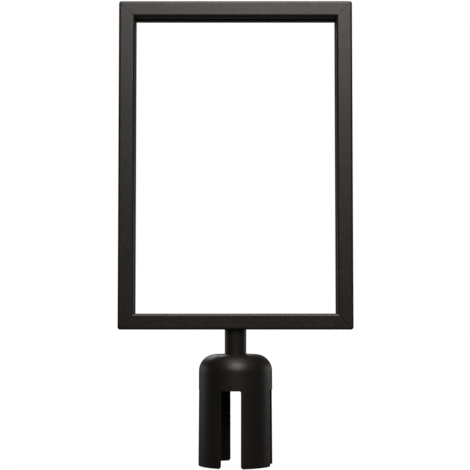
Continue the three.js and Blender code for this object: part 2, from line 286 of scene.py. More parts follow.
def cup_surface():
    """Points and faces of the cup. Columns near a slot keep a set distance from its middle
    plane, so its walls are parallel, and the columns of a leg are spread evenly between."""
    radius, height, low_rows = cup_profile()
    corner = np.linspace(slot_half - slot_corner, slot_half, corner_steps + 1)
    band = slot_half + np.concatenate([
        np.linspace(0, tip_corner, corner_steps + 1)[1:],
        np.linspace(tip_corner, leg_edge_band, band_steps + 1)[1:],
    ])
    between = np.linspace(-corner[0], corner[0], slot_steps + 1)[1:-1]
    across = np.concatenate([-corner[::-1], between, corner, band])
    slot_columns = across.size - band.size
    leg_share = np.linspace(0, 1, leg_steps + 1)[1:-1]
    quarter = np.concatenate([across, leg_share, -band[::-1]])
    is_leg = np.zeros(quarter.size, bool)
    is_leg[across.size:across.size + leg_share.size] = True

    offset, rise = np.meshgrid(np.where(is_leg, 0, quarter), height, indexing="ij")
    side = np.sign(offset)
    apart = np.abs(offset)
    centre = slot_half - slot_corner
    level = slot_top - slot_corner
    dx, dz = round_corner(apart - centre, rise - level, slot_corner, corner_fade)
    apart = centre + dx
    rise = level + dz
    tip_centre = slot_half + tip_corner
    on_leg = apart >= slot_half - hair
    from_edge = np.where(on_leg, tip_centre - apart, -1)
    dx, dz = round_corner(from_edge, tip_corner - rise, tip_corner, 2 * tip_corner)
    apart = np.where(on_leg & (dx > 0), tip_centre - dx, apart)
    rise = np.where(on_leg & (dx > 0), tip_corner - dz, rise)

    around = np.maximum(radius, cup_bore)[None, :]
    angle = side * np.arcsin(apart / around)
    next_slot = (quarter < 0) & (np.arange(quarter.size) > slot_columns)
    quarter_turn = 2 * math.pi / leg_count
    angle = np.where(next_slot[:, None], quarter_turn + angle, angle)
    edge = np.arcsin((slot_half + leg_edge_band) / around)
    share = np.where(is_leg, quarter, 0)[:, None]
    angle = np.where(is_leg[:, None], edge + share * (quarter_turn - 2 * edge), angle)

    turns = np.arange(leg_count)[:, None, None] * quarter_turn + cup_turn + angle[None]
    turns = turns.reshape(-1, radius.size)
    distance = np.tile(np.broadcast_to(radius, angle.shape), (leg_count, 1))
    rise = np.tile(rise, (leg_count, 1))
    points = np.stack([distance * np.cos(turns), distance * np.sin(turns), rise], axis=-1)

    columns, rows = turns.shape
    faces = closed_grid(columns, rows)
    c, r = np.meshgrid(np.arange(columns), np.arange(rows), indexing="ij")
    in_slot = (c % quarter.size) < slot_columns - 1
    low = (r < low_rows - 1) | (r >= rows - low_rows)
    kept = faces[~(in_slot & low)]

    index = np.arange(columns * rows).reshape(columns, rows)
    starts = np.arange(leg_count) * quarter.size
    outer, inner = np.arange(low_rows), rows - 1 - np.arange(low_rows)
    walls = []
    for column in np.concatenate([starts, starts + slot_columns - 1]):
        out, back = index[column, outer], index[column, inner]
        walls.append(np.stack([out[:-1], out[1:], back[1:], back[:-1]], axis=-1))
    for start in starts:
        out = index[start:start + slot_columns, low_rows - 1]
        back = index[start:start + slot_columns, rows - low_rows]
        walls.append(np.stack([out[:-1], out[1:], back[1:], back[:-1]], axis=-1))
    return points, np.concatenate([kept, *walls])


cup_points, cup_faces = cup_surface()
nylon = moulded_nylon()
cup = add_piece(
    "adapter_cup_moulding", cup_points, cup_faces, "adapter", ["adapter_cup"], "black_nylon", nylon
)
soften(cup, moulded_edge)


# ---- Swivel ----------------------------------------------------------------------
# A zinc-plated hexagon bolt comes up through the crown into the neck. A plain washer and
# a wave washer under it keep a light load on two nylon slip washers, so the frame turns
# on the cup and stays where it is put.

bolt_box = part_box("swivel_bolt")
bolt_radius = 4.0 * MM
bolt_head_height = 5.3 * MM
bolt_across_flats = 13.0 * MM
bolt_pitch = 1.25 * MM
thread_depth = 0.6 * MM
thread_slope = 1.2
thread_crest_share = 0.1
bolt_chamfer_angle = math.radians(30)
bolt_chamfer_start = 0.475
bolt_chamfer_height = 1.2 * MM
bolt_under_head = 0.5 * MM
bolt_under_head_lift = 0.35 * MM
bolt_chamfer_rows = 7
bolt_under_head_rows = 4
bolt_tip_height = 0.8 * MM
bolt_tip_inset = 0.2 * MM
bolt_rows = 150
turned_columns = 96
washer_edge_steps = 4
slip_washer_edge = 0.15 * MM
plain_washer_edge = 0.2 * MM
wave_washer_edge = 0.1 * MM
wave_height = 0.29 * MM
waves_round = 3
fastener_sharp_over = 25


def round_axis(columns):
    """Angles of the columns, one under the other."""
    return np.linspace(0, 2 * math.pi, columns, endpoint=False)[:, None]


def turned_surface(angle, radius, height):
    """Points and faces of rows of radius and height round the axis. Rows that start and
    end at radius 0 close there."""
    height = height[None, :] + 0 * angle
    points = np.stack([radius * np.cos(angle), radius * np.sin(angle), height], axis=-1)
    return points, closed_grid(len(angle), height.shape[1]).reshape(-1, 4)


def turned(profile, columns=turned_columns):
    """Points and faces of a closed outline of (radius, height) turned about Z."""
    outline = np.asarray(profile, float)
    return turned_surface(round_axis(columns), outline[None, :, 0], outline[:, 1])


def rounded_ring(inner, outer, bottom, top, edge):
    """Outline of a washer or tube: a rectangle with quarter-round corners of radius edge."""
    quarter = np.linspace(0, math.pi / 2, washer_edge_steps + 1)
    centres = [
        (outer - edge, bottom + edge, -math.pi / 2),
        (outer - edge, top - edge, 0.0),
        (inner + edge, top - edge, math.pi / 2),
        (inner + edge, bottom + edge, math.pi),
    ]
    arcs = [
        np.stack([r + edge * np.cos(start + quarter), z + edge * np.sin(start + quarter)], axis=-1)
        for r, z, start in centres
    ]
    return np.concatenate(arcs)


def zinc_plate():
    """Bright zinc on steel: a bluish metal with soft blotches and fine turning marks."""
    finish, tree, shader, place = new_finish("zinc plate", 0.32, metallic=1.0)
    cloud = add_noise(tree, place, 4 * MM, detail=4.0)
    marks = tree.nodes.new("ShaderNodeTexWave")
    marks.wave_type = "RINGS"
    marks.rings_direction = "Z"
    marks.inputs["Scale"].default_value = 900.0
    marks.inputs["Distortion"].default_value = 1.5
    tree.links.new(place, marks.inputs["Vector"])
    shade = add_range(tree, cloud, 0.3, 0.7, 0, 1)
    colour = add_blend(tree, shade, (0.5, 0.52, 0.55), (0.66, 0.67, 0.68))
    link_nodes(
        tree,
        (colour, shader.inputs["Base Color"]),
        (add_range(tree, cloud, 0.3, 0.7, 0.26, 0.42), shader.inputs["Roughness"]),
        (add_bump(tree, marks.outputs["Fac"], 0.01 * MM, 0.5), shader.inputs["Normal"]),
    )
    return finish


def spring_steel():
    """Blued spring steel: darker, with an oily sheen that varies over a few millimetres."""
    finish, tree, shader, place = new_finish("spring steel", 0.3, metallic=1.0)
    cloud = add_noise(tree, place, 3 * MM, detail=3.0)
    grain = add_noise(tree, place, 0.3 * MM)
    link_nodes(
        tree,
        (add_blend(tree, cloud, (0.16, 0.17, 0.2), (0.34, 0.34, 0.36)), shader.inputs["Base Color"]),
        (add_range(tree, cloud, 0.3, 0.7, 0.22, 0.4), shader.inputs["Roughness"]),
        (add_bump(tree, grain, 0.01 * MM, 0.4), shader.inputs["Normal"]),
    )
    return finish


def slip_nylon():
    """Natural nylon: off-white, a little translucent, with a faint turned grain."""
    finish, tree, shader, place = new_finish("natural nylon", 0.45)
    shader.inputs["Subsurface Weight"].default_value = 0.3
    shader.inputs["Subsurface Radius"].default_value = (0.002, 0.0018, 0.0014)
    cloud = add_noise(tree, place, 5 * MM)
    grain = add_noise(tree, place, 0.4 * MM)
    link_nodes(
        tree,
        (add_blend(tree, cloud, (0.74, 0.71, 0.62), (0.83, 0.8, 0.73)), shader.inputs["Base Color"]),
        (add_bump(tree, grain, 0.02 * MM, 0.4), shader.inputs["Normal"]),
    )
    return finish


def hexagon_radius(angle, across_flats):
    """Distance from the axis to the side of a hexagon, at an angle round it."""
    return across_flats / 2 / np.cos((angle + math.pi / 6) % (math.pi / 3) - math.pi / 6)


def thread_radius(angle, height, crest, pitch, depth, starts_above):
    """A thread's radius: it falls and rises by its depth once in each pitch, moves up a
    pitch in each turn, and runs out over a millimetre where the plain shank starts."""
    phase = (height / pitch - angle / (2 * math.pi)) % 1.0
    groove = depth * np.clip(np.abs(2 * phase - 1) * thread_slope - thread_crest_share, 0, 1)
    return crest - groove * np.clip(np.abs(height - starts_above) / MM, 0, 1)


def hexagon_bolt():
    """The head's rows lie on a hexagon cut by two 30 degree chamfer cones, and the shank's
    on the thread, up to a small flat tip."""
    bottom, top = bolt_box[0][2], bolt_box[1][2]
    shoulder = bottom + bolt_head_height
    angle = round_axis(turned_columns)
    head_z = np.concatenate([
        np.linspace(bottom, bottom + bolt_chamfer_height, bolt_chamfer_rows),
        np.linspace(shoulder - bolt_under_head, shoulder, bolt_under_head_rows),
    ])
    from_faces = np.minimum(head_z - bottom, shoulder - head_z + bolt_under_head_lift)[None, :]
    cone = bolt_across_flats * bolt_chamfer_start + from_faces / math.tan(bolt_chamfer_angle)
    head = np.minimum(hexagon_radius(angle, bolt_across_flats), cone)
    shank_z = np.linspace(shoulder, top - bolt_tip_height, bolt_rows)
    shank = thread_radius(angle, shank_z[None, :], bolt_radius, bolt_pitch, thread_depth, shoulder)
    tip = np.full_like(angle, bolt_radius - thread_depth - bolt_tip_inset)
    radius = np.concatenate([0 * angle, head, shank, tip, 0 * angle], axis=1)
    height = np.concatenate([[bottom], head_z, shank_z, [top, top]])
    return turned_surface(angle, radius, height)


def add_washer(name, node, body, slot, finish, inner, edge, wave=0.0):
    """A washer in its node's box. A wave adds wave times the sine of waves_round times the
    angle to the height of each point."""
    low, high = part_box(node)
    outline = rounded_ring(inner, high[0], low[2] + wave, high[2] - wave, edge)
    points, faces = turned(outline)
    angle = np.arctan2(points[..., 1], points[..., 0])
    points[..., 2] += wave * np.sin(waves_round * angle)
    add_piece(name, points, faces, body, [node], slot, finish)


zinc = zinc_plate()
sprung = spring_steel()
natural = slip_nylon()
add_piece(
    "swivel_hexagon_bolt", *hexagon_bolt(), "sign_frame", ["swivel_bolt"], "zinc_steel", zinc,
    fastener_sharp_over,
)
add_washer(
    "swivel_plain_washer", "swivel_washer", "sign_frame", "zinc_steel", zinc,
    cup_bolt_hole, plain_washer_edge,
)
add_washer(
    "swivel_wave_washer", "spring_washer", "sign_frame", "spring_steel", sprung,
    cup_bolt_hole, wave_washer_edge, wave_height,
)
for level in ("lower", "upper"):
    add_washer(
        level + "_slip_washer", "slip_washer_" + level, "adapter", "natural_nylon", natural,
        cup_bolt_hole, slip_washer_edge,
    )


# ---- Neck ------------------------------------------------------------------------
# A short steel tube, powder coated with the frame. Its lower end turns in the cup's crown
# recess, and its upper end meets the bottom rail in a small coated fillet. Two plugs
# pressed into its ends carry the threads for the bolt and for the frame's screw.

neck_low, neck_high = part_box("neck_tube")
neck_radius = neck_high[0]
neck_wall = 2.5 * MM
neck_bore = neck_radius - neck_wall
neck_fillet = 0.7 * MM
neck_edge = 0.5 * MM
neck_edge_steps = 6
plug_edge = 0.4 * MM
plug_knurl = 0.15 * MM
plug_knurls = 48
plug_knurl_columns = 4
plug_land = 1.5 * MM
plug_rows = 17
plug_thread_rows = 80
thread_play = 0.05 * MM
worn_edge_grey_share = 0.35
worn_edge_roughness_change = -0.05


def powder_coat():
    """Satin black powder coat: fine orange peel over a slower ripple, a little thinner,
    smoother and greyer where it has flowed off the edges."""
    finish, tree, shader, place = new_finish("satin black powder coat", 0.42)
    cloud = add_noise(tree, place, 35 * MM, detail=3.0)
    ripple = add_noise(tree, place, 3.2 * MM, detail=1.0)
    peel = add_noise(tree, place, 0.9 * MM, detail=2.0, rough=0.55)
    edge = tree.nodes.new("ShaderNodeAttribute")
    edge.attribute_name = "worn_edge"
    shade = tree.nodes.new("ShaderNodeMath")
    shade.operation = "MULTIPLY_ADD"
    shade.inputs[1].default_value = worn_edge_grey_share
    link_nodes(
        tree,
        (edge.outputs["Fac"], shade.inputs[0]),
        (add_range(tree, cloud, 0.3, 0.7, 0.0, 0.6), shade.inputs[2]),
    )
    colour = add_blend(tree, shade.outputs["Value"], (0.0122, 0.0098, 0.0076), (0.018, 0.015, 0.0125))
    gloss = tree.nodes.new("ShaderNodeMath")
    gloss.operation = "MULTIPLY_ADD"
    gloss.inputs[1].default_value = worn_edge_roughness_change
    link_nodes(
        tree,
        (edge.outputs["Fac"], gloss.inputs[0]),
        (add_range(tree, ripple, 0.3, 0.7, 0.34, 0.41), gloss.inputs[2]),
    )
    skin = add_bump(tree, ripple, 0.03 * MM, 0.5)
    skin = add_bump(tree, peel, 0.02 * MM, 0.6, under=skin)
    link_nodes(
        tree,
        (colour, shader.inputs["Base Color"]),
        (gloss.outputs["Value"], shader.inputs["Roughness"]),
        (skin, shader.inputs["Normal"]),
    )
    return finish


def neck_outline():
    """The tube's wall: a plain ring whose upper outside flares through a quarter circle of
    radius neck_fillet to meet the rail, and whose lower outside is broken."""
    turn = np.linspace(0, math.pi / 2, neck_edge_steps + 1)
    lower = np.stack([
        neck_radius - neck_edge + neck_edge * np.sin(turn),
        neck_low[2] + neck_edge - neck_edge * np.cos(turn),
    ], axis=-1)
    upper = np.stack([
        neck_radius + neck_fillet - neck_fillet * np.cos(turn),
        neck_high[2] - neck_fillet + neck_fillet * np.sin(turn),
    ], axis=-1)
    bore = np.array([[neck_bore, neck_high[2]], [neck_bore, neck_low[2]]])
    return np.concatenate([lower, upper, bore])


def neck_plug(node, thread_crest, pitch, depth):
    """A ring with chamfered ends. Its outside falls and rises plug_knurls times round,
    between two plain lands, and its hole carries the thread of the fastener in it."""
    low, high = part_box(node)
    bottom, top, outer = low[2], high[2], high[0]
    hole = thread_crest + thread_play
    angle = round_axis(plug_knurl_columns * plug_knurls)
    outside_z = np.linspace(bottom + plug_edge, top - plug_edge, plug_rows)
    hole_z = np.linspace(top - plug_edge, bottom + plug_edge, plug_thread_rows)
    from_end = np.minimum(outside_z - bottom, top - outside_z)[None, :]
    share = np.clip((from_end - plug_land) / plug_knurl, 0, 1)
    outside = outer - plug_knurl * share * (0.5 - 0.5 * np.cos(plug_knurls * angle))
    threaded = thread_radius(angle, hole_z[None, :], hole, pitch, depth, bottom - MM)
    rim = np.full_like(angle, outer - plug_edge)
    mouth = np.full_like(angle, hole + plug_edge)
    radius = np.concatenate([rim, outside, rim, mouth, threaded, mouth], axis=1)
    height = np.concatenate([[bottom], outside_z, [top, top], hole_z, [bottom]])
    return turned_surface(angle, radius, height)


coat = powder_coat()
add_piece(
    "neck_coated_tube", *turned(neck_outline()), "sign_frame", ["neck_tube"], "black_coated_steel", coat
)
lower_plug = neck_plug("neck_plug_lower", bolt_radius, bolt_pitch, thread_depth)
add_piece(
    "lower_threaded_plug", *lower_plug, "sign_frame", ["neck_plug_lower"], "zinc_steel", zinc,
    fastener_sharp_over,
)


# ---- Frame bars ------------------------------------------------------------------
# Extruded aluminium, mitred and powder coated in satin black. The section is a channel:
# a central pocket for the sheet, open to the window, between two hollow chambers. The top
# rail is two strips with a slot between them, through which the sheet is let in.

stile_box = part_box("left_stile")
frame_left = stile_box[0][0]
frame_width = 2 * abs(frame_left)
frame_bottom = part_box("bottom_rail")[0][2]
frame_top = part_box("top_rail_front")[1][2]
bar_face = 14.6 * MM
bar_half_depth = stile_box[1][1]
bar_wall = 1.5 * MM
bar_edge = 2.0 * MM
bar_lip_edge = 0.35 * MM
pocket_half = 3.0 * MM
rib = 1.4 * MM
frame_corner = 2.4 * MM
mitre_gap = 0.03 * MM
mitre_break = 0.16 * MM
edge_steps = 8
edge_hold = 0.5 * MM
chamber_edge_steps = 3
chamber_edge_hold = 0.2 * MM
mitre_rows = np.array([0, mitre_break, 0.5 * MM, MM, 1.6 * MM, 2.4 * MM, 3.4 * MM, 5 * MM])
bar_steps = 12
bar_sharp_over = 50


def filleted(corners, radii, steps=edge_steps, hold=edge_hold):
    """Outline through the corners with each one rounded: an arc from tangent point to
    tangent point about a centre on the bisector, with one more point on the straight on
    each side. Also gives each point's share of wear, highest in the middle of an arc."""
    corner = np.asarray(corners, float)
    radius = np.asarray(radii, float)[:, None]
    back = np.roll(corner, 1, axis=0) - corner
    ahead = np.roll(corner, -1, axis=0) - corner
    back /= np.linalg.norm(back, axis=1, keepdims=True)
    ahead /= np.linalg.norm(ahead, axis=1, keepdims=True)
    half = np.arccos(np.clip((back * ahead).sum(axis=1, keepdims=True), -1, 1)) / 2
    reach = radius / np.tan(half)
    bisector = (back + ahead) / np.linalg.norm(back + ahead, axis=1, keepdims=True)
    centre = corner + bisector * radius / np.sin(half)
    start = (corner + back * reach - centre) / radius
    end = (corner + ahead * reach - centre) / radius
    sweep = (math.pi - 2 * half)[:, None]
    t = np.linspace(0, 1, steps + 1)[None, :, None]
    spoke = (np.sin((1 - t) * sweep) * start[:, None] + np.sin(t * sweep) * end[:, None]) / np.sin(sweep)
    arc = centre[:, None] + radius[:, None] * spoke
    before = (corner + back * (reach + hold))[:, None]
    after = (corner + ahead * (reach + hold))[:, None]
    outline = np.concatenate([before, arc, after], axis=1).reshape(-1, 2)
    wear = np.sin(np.pi * t[0, :, 0])[None, :] * (radius > MM)
    none = np.zeros((len(corner), 1))
    wear = np.concatenate([none, wear, none], axis=1)
    return outline, wear.reshape(-1)


def channel_outline():
    """The stiles' and the bottom rail's section: the first number runs from the outer web
    to the window, the second through the depth."""
    corners = [
        (0, -bar_half_depth),
        (bar_face, -bar_half_depth),
        (bar_face, -pocket_half),
        (bar_wall, -pocket_half),
        (bar_wall, pocket_half),
        (bar_face, pocket_half),
        (bar_face, bar_half_depth),
        (0, bar_half_depth),
    ]
    radii = 2 * [bar_edge] + 4 * [bar_lip_edge] + 2 * [bar_edge]
    return filleted(corners, radii)


def strip_outline(side):
    """One strip of the top rail, in front (-1) or behind (1) the loading slot."""
    near, far = side * pocket_half, side * bar_half_depth
    corners = [(0, near), (bar_face, near), (bar_face, far), (0, far)]
    return filleted(corners, [bar_lip_edge, bar_lip_edge, bar_edge, bar_edge])


def chamber_outline(side):
    """The hollow in front of (-1) or behind (1) the pocket."""
    near, far = side * (pocket_half + rib), side * (bar_half_depth - bar_wall)
    inner = bar_face - bar_wall
    corners = [(bar_wall, near), (inner, near), (inner, far), (bar_wall, far)]
    return filleted(corners, [bar_lip_edge] * 4, chamber_edge_steps, chamber_edge_hold)[0]


def bar_rows(length):
    """Shares of the way from mitre to mitre: close together near the ends, where the
    corner is rounded, and a few in between."""
    near = mitre_rows / length
    middle = np.linspace(near[-1], 1 - near[-1], bar_steps + 1)[1:-1]
    return np.concatenate([near, middle, 1 - near[::-1]])


def bar_points(outline, length, broken):
    """Carries an outline along a bar. Each point starts as far from the corner as it lies
    from the outer web, which makes the 45 degree mitre, and the end rows are drawn in a
    little to break the mitre's edge. Near the frame's corner both offsets are scaled so
    that the square corner becomes a round one."""
    after = np.roll(outline, -1, axis=0)
    along = after - np.roll(outline, 1, axis=0)
    area = np.sum(outline[:, 0] * after[:, 1] - after[:, 0] * outline[:, 1])
    inward = np.sign(area) * np.stack([-along[:, 1], along[:, 0]], axis=-1)
    inward /= np.linalg.norm(inward, axis=1, keepdims=True)
    rows = bar_rows(length)
    drawn = np.zeros(rows.size)
    if broken:
        drawn[[0, -1]] = mitre_break
    section = outline[:, None, :] + inward[:, None, :] * drawn[None, :, None]
    inset, depth = section[..., 0], section[..., 1]
    start = inset + mitre_gap
    travel = start + rows[None, :] * (length - 2 * start)
    from_end = np.minimum(travel, length - travel)
    a, b = round_corner(frame_corner - inset, frame_corner - from_end, frame_corner, 2 * frame_corner)
    inset = np.where(inset < frame_corner, frame_corner - a, inset)
    rounded_end = np.where(from_end < frame_corner, frame_corner - b, from_end)
    travel = np.where(travel < length / 2, rounded_end, length - rounded_end)
    return inset, depth, travel


def tube_faces(points_round, rows, first):
    """Side faces of a tube of rows, whose points are numbered from first, row after row
    for each point of the outline."""
    p, r = np.meshgrid(np.arange(points_round), np.arange(rows - 1), indexing="ij")
    p_next = (p + 1) % points_round
    corners = [p * rows + r, p_next * rows + r, p_next * rows + r + 1, p * rows + r + 1]
    return first + np.stack(corners, axis=-1).reshape(-1, 4)


def bar_surface(outline, chambers, length):
    """Inset, depth and travel of every point of a hollow bar, and its faces. The mitred
    ends are the outline less the chambers, filled with triangles."""
    parts, faces, ends, first = [], [], [], 0
    for loop, broken in [(outline, True), *((chamber, False) for chamber in chambers)]:
        values = np.stack(bar_points(loop, length, broken), axis=-1)
        rows = values.shape[1]
        faces.extend(tube_faces(len(loop), rows, first))
        ends.append(first + np.arange(len(loop)) * rows)
        parts.append(values.reshape(-1, 3))
        first += values.shape[0] * rows
    points = np.concatenate(parts)
    for step in (0, rows - 1):
        loops = [[(*points[i + step, :2], 0.0) for i in loop] for loop in ends]
        flat = np.concatenate(ends) + step
        faces.extend(flat[list(triangle)] for triangle in tessellate_polygon(loops))
    return points, faces


def place_bar(values, side):
    """Turns inset, depth and travel into x, y and z for the bar on one side of the frame."""
    inset, depth, travel = values[:, 0], values[:, 1], values[:, 2]
    if side == "left":
        return np.stack([frame_left + inset, depth, frame_bottom + travel], axis=-1)
    if side == "right":
        return np.stack([-frame_left - inset, depth, frame_bottom + travel], axis=-1)
    if side == "bottom":
        return np.stack([frame_left + travel, depth, frame_bottom + inset], axis=-1)
    return np.stack([frame_left + travel, depth, frame_top - inset], axis=-1)


def add_bar(name, node, side, outline_and_wear, chambers, length):
    """Makes a bar and gives its outside the attribute worn_edge, 1 along its round edges."""
    outline, wear = outline_and_wear
    values, faces = bar_surface(outline, chambers, length)
    points = place_bar(values, side)
    slot = "black_coated_aluminium"
    piece = add_piece(name, points, faces, "sign_frame", [node], slot, coat, bar_sharp_over)
    rows = bar_rows(length).size
    worn = np.zeros(len(points), np.float32)
    worn[:len(outline) * rows] = np.repeat(wear, rows)
    attribute = piece.data.attributes.new("worn_edge", "FLOAT", "POINT")
    attribute.data.foreach_set("value", worn)
    return piece


both_chambers = [chamber_outline(-1), chamber_outline(1)]
frame_height = frame_top - frame_bottom
for side in ("left", "right"):
    add_bar(side + "_stile_bar", side + "_stile", side, channel_outline(), both_chambers, frame_height)
bottom_bar = add_bar(
    "bottom_rail_bar", "bottom_rail", "bottom", channel_outline(), both_chambers, frame_width
)
add_bar("top_front_strip", "top_rail_front", "top", strip_outline(-1), both_chambers[:1], frame_width)
add_bar("top_rear_strip", "top_rail_rear", "top", strip_outline(1), both_chambers[1:], frame_width)


# ---- Neck screw ------------------------------------------------------------------
# A zinc-plated button-head screw goes down through the bottom rail's web into the upper
# plug, with a spring steel washer. A round opening through the rail's ribs and lips lets
# the key in, and the head stays below the sheet.

screw_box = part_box("neck_screw")
screw_radius = 3.0 * MM
screw_pitch = 1.0 * MM
screw_thread_depth = 0.5 * MM
screw_tip_height = 0.5 * MM
screw_tip_inset = 0.1 * MM
screw_rows = 90
screw_head_height = 3.3 * MM
screw_rim_height = 0.4 * MM
screw_rim_break = 0.1 * MM
screw_flat_radius = 2.7 * MM
screw_crown_rows = 12
screw_socket = 4.0 * MM
screw_socket_depth = 2.0 * MM
screw_socket_mouth = 0.3 * MM
screw_socket_break = 0.15 * MM
screw_socket_cone = 0.6 * MM
screw_sharp_over = 28
screw_access = 6.7 * MM
screw_hole = 3.3 * MM
screw_washer_hole = screw_radius + 0.1 * MM
screw_washer_edge = 0.15 * MM
drill_columns = 64


def button_screw():
    """The shank's rows lie on the thread, the head's on a flattened arc, and then the rows
    turn in and go down a hexagon socket to a shallow cone."""
    bottom, top = screw_box[0][2], screw_box[1][2]
    under_head = top - screw_head_height
    head_radius = screw_box[1][0]
    angle = round_axis(turned_columns)
    shank_z = np.linspace(bottom + screw_tip_height, under_head, screw_rows)
    shank = thread_radius(
        angle, shank_z[None, :], screw_radius, screw_pitch, screw_thread_depth, under_head
    )
    tip = np.full_like(angle, screw_radius - screw_thread_depth - screw_tip_inset)
    turn = np.linspace(0, 1, screw_crown_rows) * math.pi / 2
    rim_z = under_head + screw_rim_height
    crown_z = rim_z + (screw_head_height - screw_rim_height) * np.sin(turn)
    crown_r = head_radius - (head_radius - screw_flat_radius) * (1 - np.cos(turn))
    head = np.concatenate([[head_radius - screw_rim_break], crown_r])[None, :] + 0 * angle
    mouth = hexagon_radius(angle, screw_socket + screw_socket_mouth)
    wall = hexagon_radius(angle, screw_socket)
    floor_z = top - screw_socket_depth
    socket_z = [top, top - screw_socket_break, floor_z, floor_z - screw_socket_cone]
    radius = np.concatenate([0 * angle, tip, shank, head, mouth, wall, wall, 0 * angle], axis=1)
    height = np.concatenate([[bottom, bottom], shank_z, [under_head], crown_z, socket_z])
    return turned_surface(angle, radius, height)


def drill(piece, radius, bottom, top):
    """Takes a round hole on the neck's axis out of a piece, and keeps the result."""
    points, faces = turned([(0, bottom), (radius, bottom), (radius, top), (0, top)], drill_columns)
    cutter = bpy.data.objects.new("drill", closed_mesh("drill", points, faces))
    bpy.context.collection.objects.link(cutter)
    cut = piece.modifiers.new("drilled", "BOOLEAN")
    cut.operation = "DIFFERENCE"
    cut.solver = "EXACT"
    cut.object = cutter
    drilled = piece.evaluated_get(bpy.context.evaluated_depsgraph_get())
    piece.data = bpy.data.meshes.new_from_object(drilled)
    piece.modifiers.remove(cut)
    mark_sharp(piece.data, bar_sharp_over)
    bpy.data.objects.remove(cutter)


drill(bottom_bar, screw_access, frame_bottom + bar_wall, frame_bottom + 2 * bar_face)
drill(bottom_bar, screw_hole, frame_bottom - bar_wall, frame_bottom + 2 * bar_wall)
upper_plug = neck_plug("neck_plug_upper", screw_radius, screw_pitch, screw_thread_depth)
add_piece(
    "upper_threaded_plug", *upper_plug, "sign_frame", ["neck_plug_upper"], "zinc_steel", zinc,
    fastener_sharp_over,
)
add_piece(
    "neck_button_screw", *button_screw(), "sign_frame", ["neck_screw"], "zinc_steel", zinc,
    screw_sharp_over,
)
add_washer(
    "neck_screw_steel_washer", "neck_screw_washer", "sign_frame", "spring_steel", sprung,
    screw_washer_hole, screw_washer_edge,
)


# ---- Corner keys -----------------------------------------------------------------
# L-shaped keys in cast aluminium, one in the front chambers and one in the rear chambers
# at each corner. Barbs along both legs bite into the bars and hold the mitres shut.

key_play = 0.2 * MM
key_width = bar_face - 2 * (bar_wall + key_play)
key_chamfer = 1.0 * MM
key_barbs = 5
key_barb_pitch = 3.0 * MM
key_barb_depth = 0.3 * MM
key_edge = 0.25 * MM
key_sharp_over = 25


def cast_aluminium():
    """As-cast aluminium: dull and slightly sandy, with darker patches."""
    finish, tree, shader, place = new_finish("cast aluminium", 0.55, metallic=1.0)
    patches = add_noise(tree, place, 9 * MM, detail=4.0)
    sand = add_noise(tree, place, 0.5 * MM, detail=3.0, rough=0.7)
    link_nodes(
        tree,
        (add_blend(tree, patches, (0.36, 0.37, 0.39), (0.56, 0.57, 0.58)), shader.inputs["Base Color"]),
        (add_range(tree, patches, 0.3, 0.7, 0.48, 0.66), shader.inputs["Roughness"]),
        (add_bump(tree, sand, 0.05 * MM, 0.6), shader.inputs["Normal"]),
    )
    return finish


def key_outline(leg):
    """Half of the L is one leg: its outer side, with a row of barbs that slope in and step
    back out, its chamfered tip, and its inner side with the same barbs. The other half is
    the same points in reverse with the two offsets exchanged."""
    first = key_width + key_barb_pitch
    along = first + key_barb_pitch * np.repeat(np.arange(key_barbs + 1), 2)[1:-1]
    across = np.tile([0, key_barb_depth], key_barbs)
    tip = np.array([
        [leg - key_chamfer, 0],
        [leg, key_chamfer],
        [leg, key_width - key_chamfer],
        [leg - key_chamfer, key_width],
    ])
    half = np.concatenate([
        [[key_chamfer, 0]],
        np.stack([along, across], axis=-1),
        tip,
        np.stack([along, key_width - across], axis=-1)[::-1],
        [[key_width + key_chamfer, key_width]],
    ])
    return np.concatenate([half, half[::-1, ::-1]])


def corner_key(node):
    """The outline laid off from the frame's corner, at the front and the back of the key."""
    low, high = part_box(node)
    outline = key_outline(high[0] - low[0])
    x = high[0] - outline[:, 0] if "right" in node else low[0] + outline[:, 0]
    z = high[2] - outline[:, 1] if "upper" in node else low[2] + outline[:, 1]
    rows = [np.stack([x, np.full_like(x, y), z], axis=-1) for y in (low[1], high[1])]
    points = np.stack(rows, axis=1)
    front = 2 * np.arange(len(outline))
    return points, list(tube_faces(len(outline), 2, 0)) + [front, front + 1]


cast = cast_aluminium()
for level in ("lower", "upper"):
    for side in ("left", "right"):
        for row in ("front", "rear"):
            node = f"corner_key_{level}_{side}_{row}"
            name = f"{level}_{side}_{row}_barbed_key"
            points, faces = corner_key(node)
            key = add_piece(
                name, points, faces, "sign_frame", [node], "cast_aluminium", cast, key_sharp_over
            )
            soften(key, key_edge, segments=2, angle=key_sharp_over)


# ---- Rest blocks -----------------------------------------------------------------
# Two black rubber blocks in the bottom rail's pocket, which the sheet stands on. Their
# edges are rounded and their tops are lightly grooved across.

block_edge = 0.6 * MM
block_groove = 0.25 * MM
block_groove_pitch = 3.0 * MM
block_edge_steps = 5
block_edge_hold = 0.3 * MM
block_rows = 81


def black_rubber():
    """Moulded black rubber: matt, dusty in patches, with a fine grain."""
    finish, tree, shader, place = new_finish("black rubber", 0.8)
    dust = add_noise(tree, place, 7 * MM, detail=5.0)
    grain = add_noise(tree, place, 0.4 * MM)
    dusty = add_range(tree, dust, 0.45, 0.75, 0, 1)
    link_nodes(
        tree,
        (add_blend(tree, dusty, (0.016, 0.016, 0.017), (0.034, 0.033, 0.032)), shader.inputs["Base Color"]),
        (add_range(tree, dust, 0.3, 0.7, 0.7, 0.88), shader.inputs["Roughness"]),
        (add_bump(tree, grain, 0.03 * MM, 0.6), shader.inputs["Normal"]),
    )
    return finish


